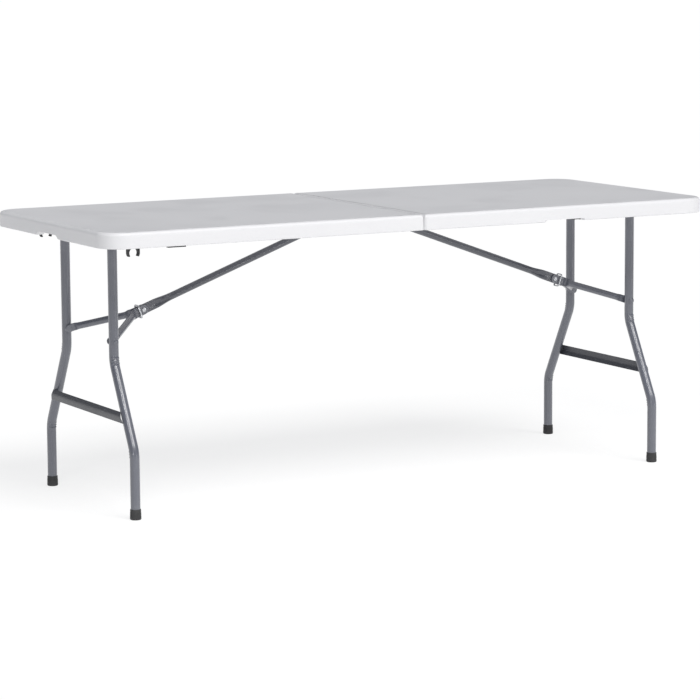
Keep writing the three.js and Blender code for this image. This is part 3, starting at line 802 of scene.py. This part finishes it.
def makeCrossStrip():
    # a strip of sheet folded to a shallow ridge, its ends cut along the slope of the legs
    height, half = crossStrip["height"], crossStrip["half"]
    slope = (legFrame["footY"] - legFrame["topY"]) / (legFrame["upperBend"] - legFrame["lowerBend"])
    bpy.ops.object.select_all(action="DESELECT")
    bpy.ops.mesh.primitive_grid_add(
        x_subdivisions=10, y_subdivisions=44, size=mm, rotation=(0, math.pi / 2, 0),
        location=((legPivot.x + crossStrip["from"]) * mm, 0, crossStrip["z"] * mm))
    strip = rename(bpy.context.object, "crossStrip")
    strip.scale = (height, 2 * half, 1)
    settle(strip)
    edit(strip)
    for row in range(11):
        rise = height * (row / 10 - 0.5)
        pick("VERT", lambda v: near(v.co.z, crossStrip["z"] + rise))
        resizeBy(1, 1 - slope * rise / half, 1, (legPivot.x, 0, 0))
        fold = 1 - abs(rise) / (height / 2)
        moveBy(crossStrip["ridge"] * min(fold, 0.93), 0, 0)
    closeEdit()
    modify(strip, "SOLIDIFY", thickness=crossStrip["sheet"] * mm, offset=1)
    softEdges(strip, 0.35, 2, 50)
    faceOutwards(strip)
    bothEnds(strip, "CrossStrip", "crossbar", "legs", darkCoat)


def makeFootCap():
    rings = footCap["outside"] + footCap["inside"]
    place = (legPivot.x, -legFrame["footY"], 0)
    cap = turned("footCap", rings, place, sides=48)
    edit(cap)
    pick("FACE", lambda f: f.normal.z < -0.9 and f.calc_area() > 50 * mm * mm)
    bpy.ops.mesh.inset(thickness=3 * mm)
    bpy.ops.mesh.inset(thickness=1 * mm)
    moveBy(0, 0, 0.9)
    bpy.ops.mesh.inset(thickness=3 * mm)
    moveBy(0, 0, -0.6)
    # shallow flutes between the two grooves give the foot a grip
    def isFlute(f):
        middle = f.calc_center_median()
        turn = math.atan2(middle.y / mm + legFrame["footY"], middle.x / mm - legPivot.x)
        return (abs(f.normal.z) < 0.1 and footCap["flutes"][0] < middle.z / mm < footCap["flutes"][1]
                and round(math.degrees(turn) / footCap["fluteTurn"]) % 2 == 0)
    pick("FACE", isFlute)
    bpy.ops.mesh.inset(thickness=footCap["fluteDeep"] * mm, use_individual=True)
    bpy.ops.transform.shrink_fatten(value=-footCap["fluteDeep"] * mm)
    closeEdit()
    allCorners(cap, "FootCap", "foot_cap", "legs", footRubber, smooth=40)


def makeLegRivet():
    face = legFrame["topY"] + legFrame["tube"] / 2
    low, high = nodeBox("right_near_leg_rivet")
    length = high.y - low.y
    dome = [(0, 3.8), (length - 2.2, 3.9), (length - 1.6, 3.9), (length - 1.6, 6.9),
            (length - 1.2, 7.0), (length - 0.8, 6.5), (length - 0.4, 5.2), (length - 0.1, 3.2),
            (length, 1.2)]
    rivet = turned("legRivet", dome, (legPivot.x, high.y, (low.z + high.z) / 2), axis="-Y", sides=28)
    # the washer under the rivet's head, let a little way over the tube
    washer = turned("washer", [(0, 8.2), (0.9, 8.2), (1.1, 7.9), (1.1, 4.2)],
                    (legPivot.x, -face + 0.9, (low.z + high.z) / 2), axis="-Y", sides=28)
    rivet = joinUp("legRivet", [rivet, washer])
    allCorners(rivet, "LegRivet", "leg_rivet", "legs", greyCoat)


makePivotBar()
makeLeg()
makeCrossStrip()
makeFootCap()
makeLegRivet()
print("leg frames made")


brace = {
    "tube": 19, "eyeHalf": 4.4, "eyeTall": 11, "plateHalf": 4.2, "plateTall": 13,
    "plateFrom": 34, "tubeTo": 84, "tail": 17, "tubeStart": 44, "eyeTo": 22, "fold": 4.6,
    "foldDeep": 0.66, "hole": 4.3,
}
arm = {
    "tube": 18, "length": 162.04, "inner": 4.8, "outer": 8.3, "kneeTall": 12.5, "kneeTo": 30,
    "endInner": 130.5, "endOuter": 134.8, "endTall": 10, "endFrom": 11, "swell": 14,
}
kneeHead = {"radius": 6, "thick": 1.2}
lockRing = {"at": 14, "half": (2, 12.6, 18.5), "wall": 2.6, "corner": 6}


def pressedTube(name, rings, sides=32):
    # rings are (place along the tube, half thickness, half height); a ring thinner than it is
    # tall is a round tube pressed flat on two sides
    start, _, tall = rings[0]
    piece = startTube(name, tall, sides, (start, 0, 0), (0, math.pi / 2, 0))
    for (x, _, tall), (nextX, _, nextTall) in zip(rings, rings[1:]):
        growTube(nextX - x, 0, 0)
        resizeBy(1, nextTall / tall, nextTall / tall, (nextX, 0, 0))
    bpy.ops.mesh.edge_face_add()
    for x, thin, tall in rings:
        for hand in (-1, 1):
            pick("VERT", lambda v: near(v.co.x, x) and hand * v.co.y / mm > thin)
            if bpy.context.object.data.total_vert_sel:
                resizeBy(1, 0, 1, (x, hand * thin, 0))
    closeEdit()
    faceOutwards(piece)
    return piece


def roundedEnd(centre, tall, thin, way):
    # rings that close a pressed end to a half round, seen from the side
    return [(centre + way * tall * math.sin(math.radians(a)), thin, tall * math.cos(math.radians(a)))
            for a in (25, 45, 62, 76, 86)]


def eased(fromX, toX, fromSize, toSize, steps=5):
    # rings that ease from one section to the next
    rings = []
    for step in range(1, steps + 1):
        t = step / steps
        s = t * t * (3 - 2 * t)
        rings.append((fromX + t * (toX - fromX), fromSize[0] + s * (toSize[0] - fromSize[0]),
                      fromSize[1] + s * (toSize[1] - fromSize[1])))
    return rings


def layOnSlope(piece, place):
    # lays a piece drawn along X on the slope of the brace, its own origin at that place
    piece.rotation_euler.y = braceSlope
    piece.location = (place.x * mm, 0, place.z * mm)
    return settle(piece)


def boreHole(piece, x, half):
    radius = brace["hole"]
    hole = turned("hole", [(-half, radius), (half, radius)], (x, 0, 0), axis="Y", sides=28)
    cutAway(piece, hole)


def makeUpperBrace():
    radius = brace["tube"] / 2
    plate = (brace["plateHalf"], brace["plateTall"])
    eye = (brace["eyeHalf"], brace["eyeTall"])
    end = braceLength + brace["tail"]
    rings = list(reversed(roundedEnd(0, eye[1], eye[0], -1))) + [(0, *eye), (brace["eyeTo"], *eye)]
    rings += eased(brace["eyeTo"], brace["tubeStart"], eye, (radius, radius))
    rings += [(braceLength - brace["tubeTo"], radius, radius)]
    rings += eased(braceLength - brace["tubeTo"], braceLength - brace["plateFrom"], (radius, radius),
                   plate)
    rings += [(braceLength - 22, *plate), (end, *plate)] + roundedEnd(end, plate[1], plate[0], 1)
    strut = pressedTube("upperBrace", rings)
    # the tube's wall folds in on itself where it runs out into the flat
    edit(strut)
    foldFrom, foldTo = braceLength - brace["tubeTo"] + 4, braceLength - brace["plateFrom"] + 8
    pick("VERT", lambda v: foldFrom < v.co.x / mm < foldTo and abs(v.co.z / mm) < brace["fold"])
    resizeBy(1, brace["foldDeep"], 1, (foldFrom, 0, 0))
    closeEdit()
    boreHole(strut, 0, 12)
    boreHole(strut, braceLength, 12)
    softEdges(strut, 0.5, 2, 48)
    layOnSlope(strut, braceTop)
    # the upper braces take the darker copy of the coat, whose colour paints the shade under the top
    bothEnds(strut, "UpperBrace", "upper_brace", "upper_brace", braceShadeCoat,
             smooth=40)


def bendFrom(x, y, angle, steps, spacing):
    # turns everything beyond x, a little at each of a few rings, working back from the far one
    for step in reversed(range(steps)):
        ringX = x + step * spacing
        pick("VERT", lambda v: v.co.x / mm > ringX + spacing / 2)
        turnBy(angle / steps, "Z", (ringX + spacing / 2, y, 0))


def makeBraceArm():
    # a tube pressed flat at both ends, whose middle slants out from the knee to the leg
    radius = arm["tube"] / 2
    kneeY = (arm["inner"] + arm["outer"]) / 2
    legY = (arm["endInner"] + arm["endOuter"]) / 2
    flat = ((arm["outer"] - arm["inner"]) / 2, arm["kneeTall"])
    endFlat = ((arm["endOuter"] - arm["endInner"]) / 2, arm["endTall"])
    across = legY - kneeY
    along = arm["length"] - arm["endFrom"] - arm["kneeTo"]
    slant = math.atan2(across, along)
    middle = math.hypot(across, along)
    kneeBend, legBend = arm["kneeTo"], arm["kneeTo"] + middle
    far = legBend + arm["endFrom"]
    step = 3.0
    kneeRings = [(kneeBend + (k - 2) * step, *flat) for k in range(5)]
    legRings = [(legBend + (k - 2) * step, *endFlat) for k in range(5)]
    rings = list(reversed(roundedEnd(0, flat[1], flat[0], -1))) + [(0, *flat)] + kneeRings
    rings += eased(kneeRings[-1][0], kneeRings[-1][0] + arm["swell"], flat, (radius, radius))
    rings += [(legRings[0][0] - arm["swell"], radius, radius)]
    rings += eased(legRings[0][0] - arm["swell"], legRings[0][0], (radius, radius), endFlat)
    rings += legRings[1:] + [(far, *endFlat)] + roundedEnd(far, endFlat[1], endFlat[0], 1)
    piece = pressedTube("braceArm", rings)
    edit(piece)
    bendFrom(legBend - 2 * step, 0, slant, 4, step)
    bendFrom(kneeBend - 2 * step, 0, -slant, 4, step)
    closeEdit()
    piece.location.y = -kneeY * mm
    settle(piece)
    boreHole(piece, 0, 30)
    softEdges(piece, 0.4, 2, 48)
    layOnSlope(piece, knee)
    allCorners(piece, "BraceArm", "brace_arm", "lower_brace", greyCoat, smooth=40)


def makeKneeRivet():
    face = arm["outer"] + 0.15
    radius, thick = kneeHead["radius"], kneeHead["thick"]
    head = [(face, 3.9), (face, radius - 0.1), (face + 0.25, radius),
            (face + 0.7 * thick, radius - 0.6), (face + thick, radius - 1.8), (face + thick, 1.6),
            (face + thick - 0.5, 1.0)]
    rings = [(-height, r) for height, r in reversed(head)] + head
    rivet = turned("kneeRivet", rings, (knee.x, 0, knee.z), axis="Y", sides=32)
    bothEnds(rivet, "KneeRivet", "knee_rivet", "lower_brace", zincSteel)


def makeLockRing():
    # a stamped band that slides over the joint of the brace and keeps it straight
    halfX, halfY, halfZ = lockRing["half"]
    wall, corner = lockRing["wall"], lockRing["corner"]
    ring = block("lockRing", (-halfX, -halfY, -halfZ), (halfX, halfY, halfZ))
    edit(ring)
    pick("EDGE", lambda e: edgeRuns(e, 0))
    bevelPicked(corner, 7)
    closeEdit()
    hole = block("ringHole", (-3 * halfX, wall - halfY, wall - halfZ),
                 (3 * halfX, halfY - wall, halfZ - wall))
    edit(hole)
    pick("EDGE", lambda e: edgeRuns(e, 0))
    bevelPicked(corner - wall, 5)
    closeEdit()
    cutAway(ring, hole)
    softEdges(ring, 0.7, 3, 60)
    ring.location.x = lockRing["at"] * mm
    settle(ring)
    layOnSlope(ring, knee)
    bothEnds(ring, "LockRing", "lock_ring", "lock_ring", zincSteel)


def makeBraceBracket():
    bracket = fromNode("braceBracket", "right_brace_bracket", 0.4)
    bothEnds(bracket, "BraceBracket", "brace_bracket", "half", greyCoat)
    low, high = nodeBox("right_brace_pin")
    half = (high.y - low.y) / 2
    rings = [(half, 1.5), (half, 5.6), (half - 0.5, 6.4), (7.75, 6.4), (7.7, 3.9)]
    rings = [(-h, r) for h, r in rings] + list(reversed(rings))
    pin = turned("bracePin", rings, (braceTop.x, 0, braceTop.z), axis="Y", sides=28)
    bothEnds(pin, "BracePin", "brace_pin", "half", zincSteel)


makeUpperBrace()
makeBraceArm()
makeKneeRivet()
makeLockRing()
makeBraceBracket()
print("braces made")


def makeBearing():
    bearing = fromNode("bearing", "right_near_bearing", 1.2, 3)
    allCorners(bearing, "Bearing", "bearing", "half", blackPlastic)


def makeClips():
    for depth in ("near", "far"):
        clip = fromNode(f"{depth}ClosingClip", f"{depth}_closing_clip", 0.7, 3)
        finishPiece(clip, "left_half", blackPlastic, [f"{depth}_closing_clip"])


def makePads():
    for depth in ("near", "far"):
        low, high = nodeBox(f"{depth}_bumper_pad")
        pad = block(f"{depth}BumperPad", low, high)
        edit(pad)
        pick("EDGE", lambda e: edgeRuns(e, 2))
        bevelPicked(3, 4)
        pick("FACE", lambda f: f.normal.z < -0.9)
        bpy.ops.mesh.inset(thickness=1.6 * mm)
        moveBy(0, 0, 0.5)
        closeEdit()
        softEdges(pad, 0.4, 2, 50)
        finishPiece(pad, "left_half", footRubber, [f"{depth}_bumper_pad"])


def makeSeamHinges():
    leaf = fromNode("hingeLeaf", "right_near_hinge_leaf", 0.35)
    allCorners(leaf, "HingeLeaf", "hinge_leaf", "half", zincSteel)
    low, high = nodeBox("right_near_hinge_pin")
    middle = (low + high) / 2
    half = (high.y - low.y) / 2
    rings = [(half, 1.2), (half - 0.1, 3.2), (half - 0.5, 3.9), (half - 1.1, 3.9), (half - 1.15, 2.4)]
    rings = [(-h, r) for h, r in rings] + list(reversed(rings))
    pin = turned("hingePin", rings, middle, axis="Y", sides=24)
    allCorners(pin, "HingePin", "hinge_pin", "half", zincSteel)
    for depth in ("near", "far"):
        hingeLink = fromNode(f"{depth}HingeLink", f"{depth}_hinge_link", 0.6, 3)
        finishPiece(hingeLink, "hinge_links", zincSteel, [f"{depth}_hinge_link"])


handleGrip = {"ridges": 19, "pitch": 4.6, "stand": 0.45, "width": 16, "inset": 2}


def makeHandle():
    handle = fromNode("carryHandle", "carry_handle", 1.3, 3)
    low, high = nodeBox("carry_handle")
    middle = (low + high) / 2
    span = (handleGrip["ridges"] - 1) * handleGrip["pitch"]
    first = middle.x - span / 2
    ridge = block("ridge", (first - 1, high.y - handleGrip["width"], low.z - handleGrip["stand"]),
                  (first + 1, high.y - handleGrip["inset"], high.z + handleGrip["stand"]))
    softEdges(ridge, 0.6, 2, 50)
    repeat(ridge, handleGrip["ridges"], (handleGrip["pitch"], 0, 0))
    handle = joinUp("carryHandle", [handle, ridge])
    finishPiece(handle, "carry_handle", blackPlastic, ["carry_handle"])
    for place in ("inner", "outer"):
        lug = fromNode(f"{place}HandleLug", f"handle_lug_{place}", 0.8, 3)
        finishPiece(lug, "right_half", blackPlastic, [f"handle_lug_{place}"])


screw = {"head": 3.1, "tall": 1.5, "slot": 0.7, "slotLong": 3.8, "slotDeep": 0.8, "turn": 0.7}
screwRows = {
    "leafSheet": 2, "leafInset": 6, "leafY": (-17, 0, 17), "bracketSheet": 1.6,
    "bracketInset": (5, 17), "bracketY": (-11.5, 11.5), "bearingX": (-12, 12),
}


def drawScrew():
    # a pan head seen from below, with a cross recess
    tall, head = screw["tall"], screw["head"]
    rings = [(0, head - 0.1), (0.3 * tall, head), (0.7 * tall, head - 0.5), (tall, head - 1.4),
             (tall, 0.6)]
    made = turned("screw", rings, (0, 0, 0), axis="-Z", sides=20)
    long, wide, deep = screw["slotLong"] / 2, screw["slot"] / 2, screw["slotDeep"]
    cutAway(made, block("slotX", (-long, -wide, -tall - 1), (long, wide, deep - tall)),
            block("slotY", (-wide, -long, -tall - 1), (wide, long, deep - tall)))
    return made


def makeScrews():
    pattern = drawScrew()
    leafHigh = nodeBox("right_near_hinge_leaf")[1]
    baseHigh = nodeBox("right_brace_bracket")[1]
    bearingLow, bearingHigh = nodeBox("right_near_bearing")
    leafFace, baseFace = leafHigh.z - screwRows["leafSheet"], baseHigh.z - screwRows["bracketSheet"]
    places = [(leafHigh.x - screwRows["leafInset"], y + dy, leafFace)
              for y in hingeSlot["places"] for dy in screwRows["leafY"]]
    places += [(baseHigh.x - x, y, baseFace)
               for x in screwRows["bracketInset"] for y in screwRows["bracketY"]]
    middle = (bearingLow + bearingHigh) / 2
    places += [(middle.x + dx, hand * middle.y, bearingLow.z)
               for dx in screwRows["bearingX"] for hand in (-1, 1)]
    heads = []
    for number, place in enumerate(places):
        copy = copyOf(pattern, f"screw{number}")
        copy.rotation_euler.z = screw["turn"] * number
        copy.location = Vector(place) * mm
        heads.append(settle(copy))
    bpy.data.objects.remove(pattern)
    heads = joinUp("screws", heads)
    for side in endTurn:
        copy = atEnd(heads, side, f"{side}Screws")
        finishPiece(copy, f"{side}_half", zincSteel)
    bpy.data.objects.remove(heads)


makeBearing()
makeClips()
makePads()
makeSeamHinges()
makeHandle()
makeScrews()
print("fittings made")


studio = {
    "floor": (0.24, 0.24, 0.24, 1), "floorRough": 0.9, "floorGlow": 0.77, "floorSize": 260.0,
    "sky": (0.84, 0.89, 1.0, 1), "skyStrength": 0.19, "lampDistance": 6,
}
# wide soft light from the front, and smaller ones that draw the glints along the tubes
lights = {
    "keyLight": {"toward": (0.12, -0.54, 0.83), "strength": 2.55, "spread": 34,
                 "tint": (1.0, 0.99, 0.975)},
    "glintLight": {"toward": (-0.40, -0.64, 0.66), "strength": 0.42, "spread": 11,
                   "tint": (1.0, 1.0, 1.0)},
    "lowLeftLight": {"toward": (-0.67, -0.72, 0.20), "strength": 0.22, "spread": 7,
                     "tint": (1.0, 1.0, 1.0)},
    "lowRightLight": {"toward": (0.46, -0.88, 0.05), "strength": 0.22, "spread": 8,
                      "tint": (1.0, 1.0, 1.0)},
}
cameraSetup = {
    "place": (-3.8233, -6.9312, 1.4864), "yaw": 0.50181, "pitch": -0.14377, "roll": -0.00675,
    "lens": 151.5, "sensor": 36, "farthest": 400,
}


def makeFloor():
    bpy.ops.object.select_all(action="DESELECT")
    bpy.ops.mesh.primitive_plane_add(size=studio["floorSize"])
    floor = rename(bpy.context.object, "studioFloor")
    paint = bpy.data.materials.new("paleFloor")
    paint.use_nodes = True
    shader = paint.node_tree.nodes["Principled BSDF"]
    shader.inputs["Base Color"].default_value = studio["floor"]
    shader.inputs["Roughness"].default_value = studio["floorRough"]
    shader.inputs["Emission Color"].default_value = (1, 1, 1, 1)
    shader.inputs["Emission Strength"].default_value = studio["floorGlow"]
    # seen from below, the floor isn't there
    tree = paint.node_tree
    clear = addNode(tree, "ShaderNodeBsdfTransparent")
    choose = addNode(tree, "ShaderNodeMixShader")
    link(tree, addNode(tree, "ShaderNodeNewGeometry").outputs["Backfacing"], choose.inputs[0])
    link(tree, shader.outputs[0], choose.inputs[1])
    link(tree, clear.outputs[0], choose.inputs[2])
    link(tree, choose.outputs[0], tree.nodes["Material Output"].inputs["Surface"])
    floor.data.materials.append(paint)


def makeLights():
    world = bpy.data.worlds.new("studioSky")
    world.use_nodes = True
    sky = world.node_tree.nodes["Background"]
    sky.inputs["Color"].default_value = studio["sky"]
    sky.inputs["Strength"].default_value = studio["skyStrength"]
    bpy.context.scene.world = world
    for name, setup in lights.items():
        light = bpy.data.lights.new(name, "SUN")
        light.energy = setup["strength"]
        light.angle = math.radians(setup["spread"])
        light.color = setup["tint"]
        lamp = bpy.data.objects.new(name, light)
        bpy.context.scene.collection.objects.link(lamp)
        lamp.location = Vector(setup["toward"]) * studio["lampDistance"]
        lamp.rotation_euler = lamp.location.to_track_quat("Z", "Y").to_euler()


def makeCamera():
    yaw, pitch, roll = cameraSetup["yaw"], cameraSetup["pitch"], cameraSetup["roll"]
    ahead = Vector((math.sin(yaw) * math.cos(pitch), math.cos(yaw) * math.cos(pitch), math.sin(pitch)))
    right = Vector((math.cos(yaw), -math.sin(yaw), 0))
    up = right.cross(ahead)
    tiltedRight = math.cos(roll) * right + math.sin(roll) * up
    tiltedUp = math.cos(roll) * up - math.sin(roll) * right
    turn = Matrix((tiltedRight, tiltedUp, -ahead)).transposed()
    camera = bpy.data.cameras.new("camera")
    camera.lens = cameraSetup["lens"]
    camera.sensor_width = cameraSetup["sensor"]
    camera.clip_end = cameraSetup["farthest"]
    holder = bpy.data.objects.new("camera", camera)
    bpy.context.scene.collection.objects.link(holder)
    holder.matrix_world = Matrix.Translation(cameraSetup["place"]) @ turn.to_4x4()
    bpy.context.scene.camera = holder


makeFloor()
makeLights()
makeCamera()
bpy.context.scene.view_settings.view_transform = "Standard"
print("studio made")
